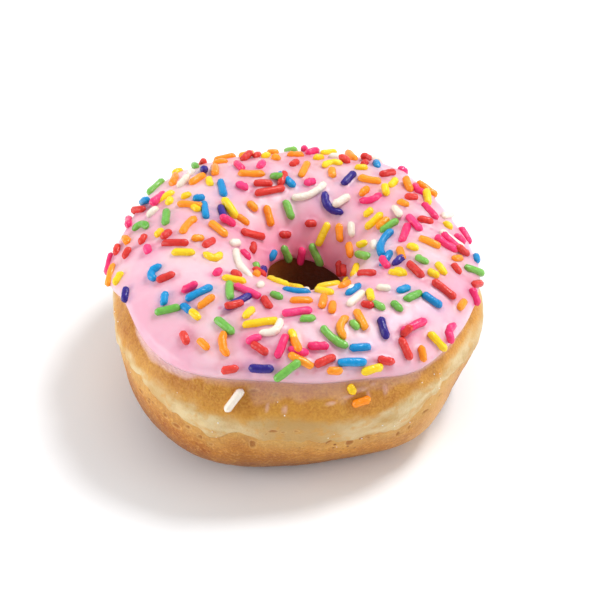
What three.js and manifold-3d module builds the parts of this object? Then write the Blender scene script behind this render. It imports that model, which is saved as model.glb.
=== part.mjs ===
// Frosted ring doughnut: a yeast-raised dough ring, pink icing set over its upper half, and
// jimmies (rod sprinkles) stuck in the icing. Millimetres, +Z up, standing on its underside,
// front towards -Y. Degrees go round the ring from +X, and up the section from the outside
// (0), over the crown (90), to the wall of the hole (180).
import * as THREE from 'three';
import Module from 'manifold-3d';

// Dough ring
const CENTRE_X = -0.6;          // puts the uneven ring in the middle of its bounding box
const RIM_RADIUS = 45;
const HOLE_RADIUS = 11.1;
const HOLE_SHIFT = [3.3, 1.9];  // the hole sits off centre
const CROWN_HEIGHT = 34.6;
const CROWN_AT = 0.47;          // the crown's place between hole and rim
const WAIST_HEIGHT = 20.2;      // height of the widest part
const FOOT_SINK = 1.0;          // the section is cut flat this far above its lowest point
const UPPER_OUT = 1.78;         // fullness of the four quarters of the section
const UPPER_IN = 2.25;
const LOWER_OUT = 2.46;
const LOWER_IN = 2.46;
const SEAM_HEIGHT = 19.2;       // where the pale band meets the fried lower crust
const BAND_DRAW = 0.95;         // the side draws in towards the pale band
const BAND_RISE = 5;
const SEAM_STEP = 0.5;          // ledge at the seam
const LEDGE_RISE = 0.8;
const LEDGE_DROP = 0.5;
const LOWER_TAPER = 0.75;       // the lower lobe draws in below the ledge
const TAPER_RISE = 8;

// Unevenness of the risen dough: waves run all the way round, swells sit at one place
const RIM_WAVES = [
  { size: 1.5, times: 2, at: 78.35 },
  { size: 0.45, times: 3, at: 114.7 },
  { size: 1.4, times: 4, at: 53.6 },
];
const RIM_SWELLS = [
  { size: 1.2, at: 349, width: 16 },
  { size: -0.5, at: 330, width: 11 },
  { size: 0.7, at: 212, width: 18 },
  { size: -0.3, at: 180, width: 14 },
];
const CROWN_WAVES = [{ size: 1.68, times: 1, at: 212.4 }];
const SEAM_WAVES = [{ size: 0.5, times: 3, at: 13.3 }];
const SEAM_SWELLS = [
  { size: 4.5, at: 216, width: 18 },
  { size: -2.2, at: 264, width: 12 },
  { size: -5.0, at: 284, width: 10 },
  { size: -5.0, at: 302, width: 9 },
  { size: 1.8, at: 325, width: 13 },
];
const TAPER_SWELLS = [
  { size: -1.1, at: 243, width: 14 },
  { size: -1.6, at: 309, width: 13 },
  { size: 1.2, at: 337, width: 12 },
];

// Icing
const ICING_GAP = 0.32;
const ICING_THICKNESS = 2.2;
const EDGE_HEIGHT = 28.7;       // its outer edge
const EDGE_WAVES = [{ size: 0.35, times: 7, at: -4.3 }];
const EDGE_SWELLS = [
  { size: 1.35, at: 218, width: 24 },
  { size: 1.45, at: 264, width: 24 },
  { size: -1.95, at: 309, width: 14 },
  { size: -0.9, at: 333, width: 13 },
  { size: -3.0, at: 2, width: 16 },
  { size: -3.7, at: 180, width: 13 },
];
const THROAT_HEIGHT = 21.5;     // its edge in the hole
const THROAT_WAVES = [{ size: 2.6, times: 1, at: 165 }];
const BEAD_SIZE = 0.35;         // the icing gathers a little above its edge
const BEAD_AT = 3;
const BEAD_WIDTH = 2.2;
const EDGE_ROUNDING = 2.3;
const THROAT_ROUNDING = 1.7;
const MM_PER_DEGREE = 0.2967;   // along the section
const ICING_RIPPLES = [
  { size: 0.18, round: 5, up: 2 },
  { size: 0.12, round: 9, up: -3 },
];

// Jimmies
const ROD_RADIUS = 0.9;
const ROD_SIDES = 5;
const ROD_TIP = 0.55;           // blunt end, as a share of the radius
const BENT_RINGS = 4;
const SIT = 0.42;               // axis above the icing, as a share of the radius
const SCATTERED = 96;
const SEED = 20177;
const SHORTEST = 3.0;
const LENGTH_SPREAD = 3.4;
const WIDTH_SPREAD = 0.12;
const CURL = 0.6;
const CURLED_SHARE = 0.12;
const TOUCHING = 2.1;           // axes closer than this touch
const STACKED_SHARE = 0.1;      // of those that would touch, the share that leans on the other
const STACKED_LIFT = 0.45;
const STACKED_RISE = 1.3;
const NEIGHBOUR = 9;

// How thickly the jimmies fell: dense and bare patches round the ring and across the icing
const EVEN_FALL = 0.6;
const PATCHES = [
  { size: 0.5, at: 222, width: 26, across: 0.56, breadth: 0.2 },
  { size: 0.5, at: 130, width: 50, across: 0.25, breadth: 0.25 },
  { size: 0.4, at: 25, width: 42, across: 0.25, breadth: 0.26 },
  { size: 0.4, at: 290, width: 40, across: 0.7, breadth: 0.16 },
  { size: -0.6, at: 185, width: 30, across: 0.18, breadth: 0.15 },
  { size: -0.75, at: 226, width: 24, across: 0, breadth: 0.14 },
  { size: -0.45, at: 276, width: 40, across: 0.16, breadth: 0.22 },
  { size: -0.5, at: 40, width: 24, across: 0.62, breadth: 0.18 },
  { size: -0.45, at: 322, width: 16, across: 0.45, breadth: 0.16 },
  { size: -0.45, at: 188, width: 24, across: 0.8, breadth: 0.2 },
];
const THROAT_LOSS = 0.6;        // few stay on the wall of the hole
const THROAT_FROM = 0.8;

// Jimmies that catch the eye: degrees round, share of the way from the outer edge to the
// throat, bearing seen from above, length, bend
const PLACED = [
  [209, 0.66, 110, 11.0, 0.9], [86, 0.62, 31, 9.0, -0.8], [71, 0.68, 124, 6.8, 1.0],
  [71, 0.83, 68, 6.2, 0], [52, 0.78, 74, 4.6, 0], [122, 0.955, 135, 5.0, 0],
  [99, 0.96, 88, 4.8, 0], [77, 0.935, 88, 6.2, 0], [31, 0.905, 33, 4.0, 0],
  [4, 0.61, 71, 8.6, 1.1], [254, 0.30, 9, 8.0, 0], [240, 0.42, 39, 7.2, 0],
  [157, 0.77, 16, 7.6, 0], [113, 0.60, 20, 7.6, 0], [220, 0.19, 4, 6.0, 0],
  [267, 0.05, 50, 7.2, 0], [259, 0.05, 178, 5.6, 0], [288, 0.08, 6, 6.7, 0],
  [314, 0.19, 37, 7.4, 0], [336, 0.20, 149, 6.6, 0], [328, 0.22, 154, 5.4, 0],
  [303, 0.24, 108, 5.6, 0], [283, 0.22, 141, 7.4, 0.5], [201, 0.05, 66, 4.2, 0],
  [355, 0.08, 14, 5.6, 0], [349, 0.05, 31, 4.4, 0], [142, 0.06, 56, 6.4, 0],
  [7, 0.19, 145, 6.8, 0.5], [264, 0.60, 173, 6.4, 0.4], [242, 0.74, 139, 6.0, 0.4],
  [116, 0.44, 180, 6.4, 0], [245, 0.16, 94, 6.2, 0.5], [260, 0.26, 40, 6.0, -0.9],
  [287, 0.28, 85, 6.2, 0.8], [242, 0.26, 131, 6.0, 0], [268, 0.38, 17, 7.0, 0],
  [281, 0.47, 83, 5.4, 0], [269, 0.48, 5, 5.2, 0], [257, 0.15, 140, 4.7, 0],
  [264, 0.17, 73, 6.2, 0], [271, 0.10, 151, 6.2, 0], [277, 0.18, 4, 4.8, 0],
  [279, 0.10, 31, 5.2, 0], [294, 0.04, 26, 5.2, 0], [299, 0.07, 176, 4.0, 0],
  [292, 0.15, 10, 5.0, 0], [296, 0.31, 113, 6.0, 0], [307, 0.11, 121, 5.6, 0],
  [323, 0.31, 42, 5.0, 0], [299, 0.46, 55, 6.4, 0], [324, 0.63, 140, 5.4, 0],
  [239, 0.51, 147, 7.2, 0], [232, 0.47, 95, 6.2, 0], [223, 0.36, 31, 7.0, 0],
  [10, 0.47, 76, 6.9, 0], [17, 0.38, 120, 6.0, 0], [25, 0.21, 124, 6.0, 0],
  [30, 0.59, 38, 5.5, 0], [156, 0.41, 164, 6.4, 0], [125, 0.75, 115, 5.3, 0],
  [105, 0.72, 110, 5.0, 0], [173, 0.48, 65, 7.0, 0.3], [187, 0.42, 168, 6.5, 0],
  [195, 0.41, 175, 5.4, 0], [165, 0.33, 92, 6.4, 0], [4, 0.24, 150, 6.4, 0.5],
];

// Jimmies that missed the icing and stuck to the dough: degrees round, height, bearing, length
const STRAYS = [
  [253, 27.2, 60, 6.2], [290, 25.1, 34, 4.4], [287.5, 27.6, 122, 2.6],
];

// Mesh
const AROUND = 48;

const rad = (deg) => deg * Math.PI / 180;
const clamp = (v, low, high) => Math.min(Math.max(v, low), high);

function smooth(v) {
  const t = clamp(v, 0, 1);
  return t * t * (3 - 2 * t);
}

function swell(deg, at, width) {
  const away = (((deg - at + 180) % 360) + 360) % 360 - 180;
  return Math.exp(-((away / width) ** 2));
}

function uneven(deg, mean, waves, swells = []) {
  const wavy = waves.reduce((sum, w) => sum + w.size * Math.cos(rad(w.times * (deg - w.at))), mean);
  return swells.reduce((sum, s) => sum + s.size * swell(deg, s.at, s.width), wavy);
}

const rimRadius = (deg) => uneven(deg, RIM_RADIUS, RIM_WAVES, RIM_SWELLS);
const crownHeight = (deg) => uneven(deg, CROWN_HEIGHT, CROWN_WAVES);
const seamHeight = (deg) => uneven(deg, SEAM_HEIGHT, SEAM_WAVES, SEAM_SWELLS);
const edgeHeight = (deg) => uneven(deg, EDGE_HEIGHT, EDGE_WAVES, EDGE_SWELLS);
const lowerTaper = (deg) => uneven(deg, LOWER_TAPER, [], TAPER_SWELLS);
const throatHeight = (deg) => uneven(deg, THROAT_HEIGHT, THROAT_WAVES);

// The quarter of the section that faces out or in, up or down: half-axes and fullness
function quarter(deg, outward, upward) {
  const crownRadius = HOLE_RADIUS + (rimRadius(deg) - HOLE_RADIUS) * CROWN_AT;
  const upperFull = outward ? UPPER_OUT : UPPER_IN;
  const lowerFull = outward ? LOWER_OUT : LOWER_IN;
  return {
    crownRadius,
    wide: outward ? rimRadius(deg) - crownRadius : crownRadius - HOLE_RADIUS,
    high: upward ? crownHeight(deg) - WAIST_HEIGHT : WAIST_HEIGHT + FOOT_SINK,
    full: upward ? upperFull : lowerFull,
  };
}

// Degrees up the section at which its outer or inner side passes a height
function sectionAngle(deg, height, outward) {
  const z = height - WAIST_HEIGHT;
  const q = quarter(deg, outward, z >= 0);
  const x = q.wide * (1 - (Math.abs(z) / q.high) ** q.full) ** (1 / q.full);
  const angle = Math.atan2(z, outward ? x : -x) * 180 / Math.PI;
  return angle < -90 ? angle + 360 : angle;
}

const edgeAngle = (deg) => sectionAngle(deg, edgeHeight(deg), true);
const throatAngle = (deg) => sectionAngle(deg, throatHeight(deg), false);

// How far the outer side stands in from the plain section, by height above the seam
function sideInset(deg, above) {
  return BAND_DRAW * (1 - smooth(above / BAND_RISE))
    + SEAM_STEP * (1 - smooth((above + LEDGE_DROP) / LEDGE_RISE))
    + lowerTaper(deg) * clamp(-above / TAPER_RISE, 0, 1);
}

function doughPoint(deg, up) {
  const c = Math.cos(rad(up));
  const s = Math.sin(rad(up));
  const q = quarter(deg, c >= 0, s >= 0);
  const r = ((Math.abs(c) / q.wide) ** q.full + (Math.abs(s) / q.high) ** q.full) ** (-1 / q.full);
  const z = Math.max(WAIST_HEIGHT + r * s, 0);
  const outside = clamp(c * 1.6, 0, 1);
  const reach = q.crownRadius + r * c - sideInset(deg, z - seamHeight(deg)) * outside;
  const rim = rimRadius(deg);
  const inward = clamp((rim - reach) / (rim - HOLE_RADIUS), 0, 1);
  return new THREE.Vector3(
    CENTRE_X + reach * Math.cos(rad(deg)) + HOLE_SHIFT[0] * inward,
    reach * Math.sin(rad(deg)) + HOLE_SHIFT[1] * inward,
    z,
  );
}

function doughNormal(deg, up) {
  const step = 0.25;
  const round = doughPoint(deg + step, up).sub(doughPoint(deg - step, up));
  const rise = doughPoint(deg, up + step).sub(doughPoint(deg, up - step));
  return round.cross(rise).normalize();
}

function doughOffset(deg, up, distance) {
  return doughPoint(deg, up).addScaledVector(doughNormal(deg, up), distance);
}

function roundedEdge(distance, rounding) {
  const t = clamp(distance / rounding, 0, 1);
  return Math.sqrt(1 - (1 - t) * (1 - t));
}

// Height of the icing's outer face above the dough
function icingTop(deg, up, edge, throat) {
  const fromEdge = (up - edge) * MM_PER_DEGREE;
  const fromThroat = (throat - up) * MM_PER_DEGREE;
  const bead = BEAD_SIZE * Math.exp(-(((fromEdge - BEAD_AT) / BEAD_WIDTH) ** 2));
  const ripple = ICING_RIPPLES.reduce((sum, w) =>
    sum + w.size * Math.cos(rad(w.round * deg + w.up * up)), 0);
  const body = ICING_THICKNESS + bead + ripple;
  return ICING_GAP + body * roundedEdge(fromEdge, EDGE_ROUNDING)
    * roundedEdge(fromThroat, THROAT_ROUNDING);
}

// A point on the icing, across from 0 at the outer edge to 1 in the throat
function icingPoint(deg, across) {
  const edge = edgeAngle(deg);
  const throat = throatAngle(deg);
  const up = edge + (throat - edge) * across;
  return doughOffset(deg, up, icingTop(deg, up, edge, throat));
}

function solidFrom(wasm, points, triangles) {
  return new wasm.Manifold(new wasm.Mesh({
    numProp: 3,
    vertProperties: new Float32Array(points),
    triVerts: new Uint32Array(triangles),
  }));
}

// Closed sections set round the ring and joined into one solid
function ringSolid(wasm, sectionAt) {
  const sections = spread(0, 360, AROUND).map(sectionAt);
  const count = sections[0].length;
  const triangles = [];
  sections.forEach((section, i) => {
    const here = i * count;
    const next = ((i + 1) % AROUND) * count;
    section.forEach((point, j) => {
      const k = (j + 1) % count;
      triangles.push(here + j, next + j, next + k);
      triangles.push(here + j, next + k, here + k);
    });
  });
  return solidFrom(wasm, sections.flat().flatMap((p) => p.toArray()), triangles);
}

function spread(from, to, steps) {
  return Array.from({ length: steps }, (_, i) => from + (to - from) * i / steps);
}

function doughSection(deg) {
  const seam = seamHeight(deg);
  const footOut = sectionAngle(deg, 0, true);
  const footIn = sectionAngle(deg, 0, false);
  const groove = sectionAngle(deg, seam - LEDGE_DROP, true);
  const ledge = sectionAngle(deg, seam + LEDGE_RISE - LEDGE_DROP, true);
  const band = sectionAngle(deg, seam + BAND_RISE / 2, true);
  const ups = [
    ...spread(footOut, groove, 5), groove, ledge, ...spread(band, edgeAngle(deg), 2),
    ...spread(edgeAngle(deg), throatAngle(deg), 9), ...spread(throatAngle(deg), footIn, 4), footIn,
  ];
  return ups.map((up) => doughPoint(deg, up));
}

function icingSection(deg) {
  const edge = edgeAngle(deg);
  const throat = throatAngle(deg);
  const outer = [
    ...[0, 1.2, 3.6, 7.6].map((d) => edge + d), ...spread(edge + 13, throat - 10, 10),
    ...[10, 5.5, 2.4, 0.8, 0].map((d) => throat - d),
  ];
  const inner = spread(throat, edge, 9).slice(1);
  return [
    ...outer.map((up) => doughOffset(deg, up, icingTop(deg, up, edge, throat))),
    ...inner.map((up) => doughOffset(deg, up, ICING_GAP)),
  ];
}

// Places a jimmy on a surface: its axis lies along the bearing, a little above the surface
function layRod(point, normal, bearing, length, bend, { radius, lift, lean }) {
  const heading = new THREE.Vector3(Math.cos(rad(bearing)), Math.sin(rad(bearing)), 0);
  const along = heading.addScaledVector(normal, -heading.dot(normal)).normalize();
  const middle = point.clone().addScaledVector(normal, SIT * radius + lift);
  return { middle, along, normal, length, radius, bend, lean };
}

function layOnIcing(deg, across, bearing, length, bend, manner) {
  const round = icingPoint(deg + 0.5, across).sub(icingPoint(deg - 0.5, across));
  const rise = icingPoint(deg, across + 0.008).sub(icingPoint(deg, across - 0.008));
  const normal = round.cross(rise).normalize();
  return layRod(icingPoint(deg, across), normal, bearing, length, bend, manner);
}

// One jimmy as a solid: rings of points along its spine, closed by a blunt tip at each end
function rodSolid(wasm, rod) {
  const rings = rod.bend ? BENT_RINGS : 2;
  const body = rod.length - 2 * ROD_TIP * rod.radius;
  const sideways = rod.normal.clone().cross(rod.along).normalize();
  const spine = (u) => rod.middle.clone()
    .addScaledVector(rod.along, body * (u - 0.5))
    .addScaledVector(rod.normal, rod.lean * body * (u - 0.5))
    .addScaledVector(sideways, rod.bend * (4 * u * (1 - u) - 0.6));
  const direction = (u) => spine(u + 0.01).sub(spine(u - 0.01)).normalize();
  const points = [
    spine(0).addScaledVector(direction(0), -ROD_TIP * rod.radius),
    spine(1).addScaledVector(direction(1), ROD_TIP * rod.radius),
  ];
  for (let i = 0; i < rings; i++) {
    const u = i / (rings - 1);
    const right = direction(u).cross(rod.normal).normalize();
    const top = right.clone().cross(direction(u));
    spread(90, 450, ROD_SIDES).forEach((turn) => points.push(spine(u)
      .addScaledVector(right, rod.radius * Math.cos(rad(turn)))
      .addScaledVector(top, rod.radius * Math.sin(rad(turn)))));
  }
  const corner = (i, k) => 2 + i * ROD_SIDES + k % ROD_SIDES;
  const triangles = [];
  for (let k = 0; k < ROD_SIDES; k++) {
    triangles.push(0, corner(0, k), corner(0, k + 1));
    triangles.push(1, corner(rings - 1, k + 1), corner(rings - 1, k));
    for (let i = 0; i < rings - 1; i++) {
      triangles.push(corner(i, k), corner(i + 1, k + 1), corner(i, k + 1));
      triangles.push(corner(i, k), corner(i + 1, k), corner(i + 1, k + 1));
    }
  }
  return solidFrom(wasm, points.flatMap((p) => p.toArray()), triangles);
}

function density(deg, across) {
  const fall = PATCHES.reduce((sum, p) => sum + p.size * swell(deg, p.at, p.width)
    * Math.exp(-(((across - p.across) / p.breadth) ** 2)), EVEN_FALL);
  const kept = 1 - THROAT_LOSS * clamp((across - THROAT_FROM) / 0.1, 0, 1);
  return clamp(fall * kept, 0.03, 1);
}

function rodSamples(rod) {
  return [-0.5, -0.25, 0, 0.25, 0.5].map((u) =>
    rod.middle.clone().addScaledVector(rod.along, u * (rod.length - rod.radius)));
}

// The smallest gap between a jimmy and those near it, and which way along it that lies
function nearestTouch(samples, taken) {
  const near = taken.filter((other) => other[2].distanceTo(samples[2]) < NEIGHBOUR);
  let best = { gap: Infinity, way: 1 };
  near.flat().forEach((q) => samples.forEach((p, i) => {
    const gap = p.distanceTo(q);
    if (gap < best.gap) {
      best = { gap, way: i >= 2 ? 1 : -1 };
    }
  }));
  return best;
}

// Lays the eye-catching jimmies, then scatters the rest one by one with a seeded draw
function icingRods() {
  const plain = { radius: ROD_RADIUS, lift: 0, lean: 0 };
  const rods = PLACED.map((place) => layOnIcing(...place, plain));
  const taken = rods.map(rodSamples);
  let seed = SEED;
  const draw = () => {
    seed = (seed * 1664525 + 1013904223) % 4294967296;
    return seed / 4294967296;
  };
  while (rods.length < PLACED.length + SCATTERED) {
    const deg = 360 * draw();
    const across = 0.03 + 0.91 * draw();
    const fate = draw();
    const bearing = 180 * draw();
    const length = SHORTEST + LENGTH_SPREAD * draw() ** 1.3;
    const radius = ROD_RADIUS * (1 + WIDTH_SPREAD * (draw() - 0.5));
    const curl = draw();
    const stack = draw();
    const point = icingPoint(deg, across);
    const room = Math.hypot(point.x, point.y) / (RIM_RADIUS + ICING_THICKNESS);
    if (fate > room * density(deg, across)) {
      continue;
    }
    const side = curl < CURLED_SHARE / 2 ? CURL : -CURL;
    const bend = curl < CURLED_SHARE && length > 4 ? side : 0;
    const flat = layOnIcing(deg, across, bearing, length, bend, { radius, lift: 0, lean: 0 });
    const samples = rodSamples(flat);
    const touch = nearestTouch(samples, taken);
    if (touch.gap < TOUCHING && stack > STACKED_SHARE) {
      continue;
    }
    const leaning = { radius, lift: STACKED_LIFT, lean: touch.way * STACKED_RISE / length };
    const leans = touch.gap < TOUCHING;
    rods.push(leans ? layOnIcing(deg, across, bearing, length, bend, leaning) : flat);
    taken.push(samples);
  }
  return rods;
}

function doughRods() {
  const plain = { radius: ROD_RADIUS, lift: 0, lean: 0 };
  return STRAYS.map(([deg, height, bearing, length]) => {
    const up = sectionAngle(deg, height, true);
    return layRod(doughPoint(deg, up), doughNormal(deg, up), bearing, length, 0, plain);
  });
}

function withRods(wasm, body, rods) {
  return rods.reduce((solid, rod) => solid.add(rodSolid(wasm, rod)), body);
}

function toMesh(name, solid, color, roughness) {
  const { vertProperties, triVerts } = solid.getMesh();
  const geometry = new THREE.BufferGeometry();
  geometry.setAttribute('position', new THREE.BufferAttribute(vertProperties, 3));
  geometry.setIndex(new THREE.BufferAttribute(triVerts, 1));
  geometry.computeVertexNormals();
  const mesh = new THREE.Mesh(geometry, new THREE.MeshStandardMaterial({ color, roughness }));
  mesh.name = name;
  return mesh;
}

const wasm = await Module();
wasm.setup();

const dough = withRods(wasm, ringSolid(wasm, doughSection), doughRods());
const icing = withRods(wasm, ringSolid(wasm, icingSection), icingRods());

const doughnut = new THREE.Group();
doughnut.add(toMesh('dough_ring', dough, 0xc98f4d, 0.7));
doughnut.add(toMesh('icing', icing, 0xf7c3d3, 0.35));

export default doughnut;
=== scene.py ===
import math

import bpy
import numpy as np
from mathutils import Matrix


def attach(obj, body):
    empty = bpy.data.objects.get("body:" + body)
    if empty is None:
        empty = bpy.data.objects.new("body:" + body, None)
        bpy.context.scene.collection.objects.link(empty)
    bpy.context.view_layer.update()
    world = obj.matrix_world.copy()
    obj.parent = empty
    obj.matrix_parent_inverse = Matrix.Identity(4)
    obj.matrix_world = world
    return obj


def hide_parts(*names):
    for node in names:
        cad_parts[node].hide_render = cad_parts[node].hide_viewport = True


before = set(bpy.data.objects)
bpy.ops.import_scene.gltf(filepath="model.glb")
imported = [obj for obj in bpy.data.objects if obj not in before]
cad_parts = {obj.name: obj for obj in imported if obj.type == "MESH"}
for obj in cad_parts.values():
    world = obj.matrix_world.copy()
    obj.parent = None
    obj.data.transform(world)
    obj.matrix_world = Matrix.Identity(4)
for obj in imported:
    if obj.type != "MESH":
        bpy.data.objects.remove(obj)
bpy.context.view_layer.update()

# A frosted ring doughnut with rod sprinkles. Lengths are in mm, degrees go round the ring from
# the right, and up the section from its outside over the crown to the wall of the hole. The
# scale of a pattern in a material is one over its size in metres.

# ---------------------------------------------------------------------------------------------
# Dough ring. A ring of yeast-raised dough, fried on both sides: golden crust above and below,
# and round the waist the cream-coloured band that floated clear of the fat. It is soft, so its
# outline is uneven, and gas bubbles that burst at the skin left small pits.
# ---------------------------------------------------------------------------------------------
MM = 0.001
RIM_RADIUS = 45.0
HOLE_RADIUS = 11.1
# the ring's middle lies a little left, and the hole right of it and back
CENTRE_X = -0.6
HOLE_SHIFT = (3.3, 1.9)
CROWN_HEIGHT = 34.6
# the crown's place between hole and rim
CROWN_AT = 0.47
# height of the widest part
WAIST_HEIGHT = 20.2
# the section is cut flat this far above its lowest point
FOOT_SINK = 1.0
# fullness of the four quarters of the section
UPPER_OUT = 1.78
UPPER_IN = 2.25
LOWER_OUT = 2.46
LOWER_IN = 2.46
# where the pale band meets the fried lower crust, with a ledge at the seam
SEAM_HEIGHT = 19.2
BAND_DRAW = 0.95
BAND_RISE = 5.0
SEAM_STEP = 0.5
LEDGE_RISE = 0.8
LEDGE_DROP = 0.5
LOWER_TAPER = 0.75
TAPER_RISE = 8.0
# the side's insets fade out towards the crown
INSET_FADE = 1.6
# heights of the icing's edge outside and in the hole
EDGE_HEIGHT = 28.7
THROAT_HEIGHT = 21.5
# about how long a degree up the section is
MM_PER_DEGREE = 0.2967

# Waves run all the way round (size, times, place), swells sit at one place (size, place, width)
RIM_WAVES = ((1.5, 2, 78.35), (0.45, 3, 114.7), (1.4, 4, 53.6))
RIM_SWELLS = ((1.2, 349, 16), (-0.5, 330, 11), (0.7, 212, 18), (-0.3, 180, 14))
CROWN_WAVES = ((1.68, 1, 212.4),)
SEAM_WAVES = ((0.5, 3, 13.3),)
SEAM_SWELLS = ((4.5, 216, 18), (-2.2, 264, 12), (-5.0, 284, 10), (-5.0, 302, 9), (1.8, 325, 13))
TAPER_SWELLS = ((-1.1, 243, 14), (-1.6, 309, 13), (1.2, 337, 12))
EDGE_WAVES = ((0.35, 7, -4.3),)
EDGE_SWELLS = ((1.35, 218, 24), (1.45, 264, 24), (-1.95, 309, 14), (-0.9, 333, 13), (-3.0, 2, 16),
               (-3.7, 180, 13))
THROAT_WAVES = ((2.6, 1, 165),)
RAGGED_WAVES = ((0.24, 23, 5), (0.2, 41, 2), (0.16, 67, 1), (0.12, 97, 3))
RAGGED_SWELLS = ((-3.1, 247.5, 3.2), (0.6, 254.5, 3.5), (-1.3, 240.5, 3), (0.9, 281, 2.5),
                 (-0.7, 290.5, 2.2), (-0.7, 302, 1.6), (0.8, 312, 3), (-1.1, 316, 1.5),
                 (-0.7, 271.5, 3), (0.6, 320, 6), (-0.9, 335, 6))
# height of the pale band's upper limit, where the second frying reached down to
BAND_TOP = 23.6
BAND_WAVES = ((0.25, 5, 40), (0.2, 11, 8), (0.15, 29, 3))
BAND_SWELLS = ((2.4, 221, 16), (1.0, 238, 8), (-2.5, 291, 15), (0.6, 327, 15), (2.4, 357, 14))
# the band is creamiest at the sides and darker at the front: partly toasted, partly painted shade
TOAST_AND_SHADE = 0.1
TOAST_AND_SHADE_SWELLS = ((1.0, 271, 15), (0.35, 231, 7), (0.5, 346, 14))
# painted light: the lower crust is paler at the front right, and the wall of the hole at the left
LIT_LOWER_CRUST = ((0.72, 317, 11),)
HOLE_WALL_LIT = ((0.9, 145, 30),)


def smooth(share):
    t = np.clip(share, 0.0, 1.0)
    return t * t * (3.0 - 2.0 * t)


def apart(deg, at):
    """Degrees from one place round the ring to another, the short way."""
    return (deg - at + 180.0) % 360.0 - 180.0


def swell(deg, at, width):
    return np.exp(-((apart(deg, at) / width) ** 2))


def uneven(deg, mean, waves, swells=()):
    total = mean + 0.0 * deg
    for size, times, at in waves:
        total = total + size * np.cos(np.radians(times * (deg - at)))
    for size, at, width in swells:
        total = total + size * swell(deg, at, width)
    return total


def rim_radius(deg):
    return uneven(deg, RIM_RADIUS, RIM_WAVES, RIM_SWELLS)


def quarter(deg, outward, upward):
    """Half-axes and fullness of the section's quarter that faces out or in, up or down."""
    crown_radius = HOLE_RADIUS + (rim_radius(deg) - HOLE_RADIUS) * CROWN_AT
    crown = uneven(deg, CROWN_HEIGHT, CROWN_WAVES)
    wide = np.where(outward, rim_radius(deg) - crown_radius, crown_radius - HOLE_RADIUS)
    high = np.where(upward, crown - WAIST_HEIGHT, WAIST_HEIGHT + FOOT_SINK)
    upper = np.where(outward, UPPER_OUT, UPPER_IN)
    lower = np.where(outward, LOWER_OUT, LOWER_IN)
    return crown_radius, wide, high, np.where(upward, upper, lower)


def section_angle(deg, height, outward):
    """Degrees up the section at which its outer or inner side passes a height."""
    z = height - WAIST_HEIGHT
    _, wide, high, full = quarter(deg, outward, z >= 0)
    x = wide * (1.0 - (np.abs(z) / high) ** full) ** (1.0 / full)
    angle = np.degrees(np.arctan2(z, x if outward else -x))
    return np.where(angle < -90.0, angle + 360.0, angle)


def dough_point(deg, up, seam=None):
    """A point of the dough in mm, and its height above the seam."""
    c = np.cos(np.radians(up))
    s = np.sin(np.radians(up))
    crown_radius, wide, high, full = quarter(deg, c >= 0, s >= 0)
    r = ((np.abs(c) / wide) ** full + (np.abs(s) / high) ** full) ** (-1.0 / full)
    z = np.maximum(WAIST_HEIGHT + r * s, 0.0)
    above = z - (uneven(deg, SEAM_HEIGHT, SEAM_WAVES, SEAM_SWELLS) if seam is None else seam)
    inset = BAND_DRAW * (1.0 - smooth(above / BAND_RISE))
    inset = inset + SEAM_STEP * (1.0 - smooth((above + LEDGE_DROP) / LEDGE_RISE))
    taper = uneven(deg, LOWER_TAPER, (), TAPER_SWELLS)
    inset = inset + taper * np.clip(-above / TAPER_RISE, 0.0, 1.0)
    reach = crown_radius + r * c - inset * np.clip(c * INSET_FADE, 0.0, 1.0)
    rim = rim_radius(deg)
    inward = np.clip((rim - reach) / (rim - HOLE_RADIUS), 0.0, 1.0)
    x = CENTRE_X + reach * np.cos(np.radians(deg)) + HOLE_SHIFT[0] * inward
    y = reach * np.sin(np.radians(deg)) + HOLE_SHIFT[1] * inward
    return np.stack([x, y, z + 0.0 * x], axis=-1), above


def dough_normal(deg, up):
    step = 0.25
    around = dough_point(deg + step, up)[0] - dough_point(deg - step, up)[0]
    rise = dough_point(deg, up + step)[0] - dough_point(deg, up - step)[0]
    normal = np.cross(around, rise)
    return normal / np.linalg.norm(normal, axis=-1, keepdims=True)


def steps_between(start, end, count):
    """count values from start up to but not including end, for every section at once."""
    return start[:, None] + (end - start)[:, None] * np.arange(count)[None, :] / count


def add_flags(mesh, flags):
    """Gives every point of a mesh its attributes, one number each."""
    for name, values in flags.items():
        layer = mesh.attributes.new(name, "FLOAT", "POINT")
        layer.data.foreach_set("value", np.asarray(values, dtype=np.float32).ravel())


def new_object(name, contents):
    made = bpy.data.objects.new(name, contents)
    bpy.context.scene.collection.objects.link(made)
    return made


def ring_piece(name, points, flags):
    """Closed sections, one per step round the ring, joined into one mesh with its attributes."""
    around, along = points.shape[:2]
    here = np.arange(around * along).reshape(around, along)
    ahead = np.roll(here, -1, axis=0)
    faces = np.stack([here, ahead, np.roll(ahead, -1, axis=1), np.roll(here, -1, axis=1)], axis=-1)
    mesh = bpy.data.meshes.new(name)
    mesh.from_pydata(points.reshape(-1, 3) * MM, [], faces.reshape(-1, 4).tolist())
    add_flags(mesh, flags)
    mesh.shade_smooth()
    return new_object(name, mesh)


def add_node(tree, kind, settings=None, inputs=None):
    """Adds a node: settings are its properties, inputs its sockets' sources or values."""
    node = tree.nodes.new(kind)
    for key, value in (settings or {}).items():
        setattr(node, key, value)
    for key, value in (inputs or {}).items():
        if isinstance(value, bpy.types.NodeSocket):
            tree.links.new(value, node.inputs[key])
        else:
            node.inputs[key].default_value = value
    return node


def new_tree(name, sockets):
    """An empty Geometry Nodes tree with its named inputs, and its group input node."""
    tree = bpy.data.node_groups.new(name, "GeometryNodeTree")
    for socket, kind, default in sockets:
        item = tree.interface.new_socket(socket, in_out="INPUT", socket_type=f"NodeSocket{kind}")
        if default is not None:
            item.default_value = default
    tree.interface.new_socket("Result", in_out="OUTPUT", socket_type="NodeSocketGeometry")
    return tree, add_node(tree, "NodeGroupInput")


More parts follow.
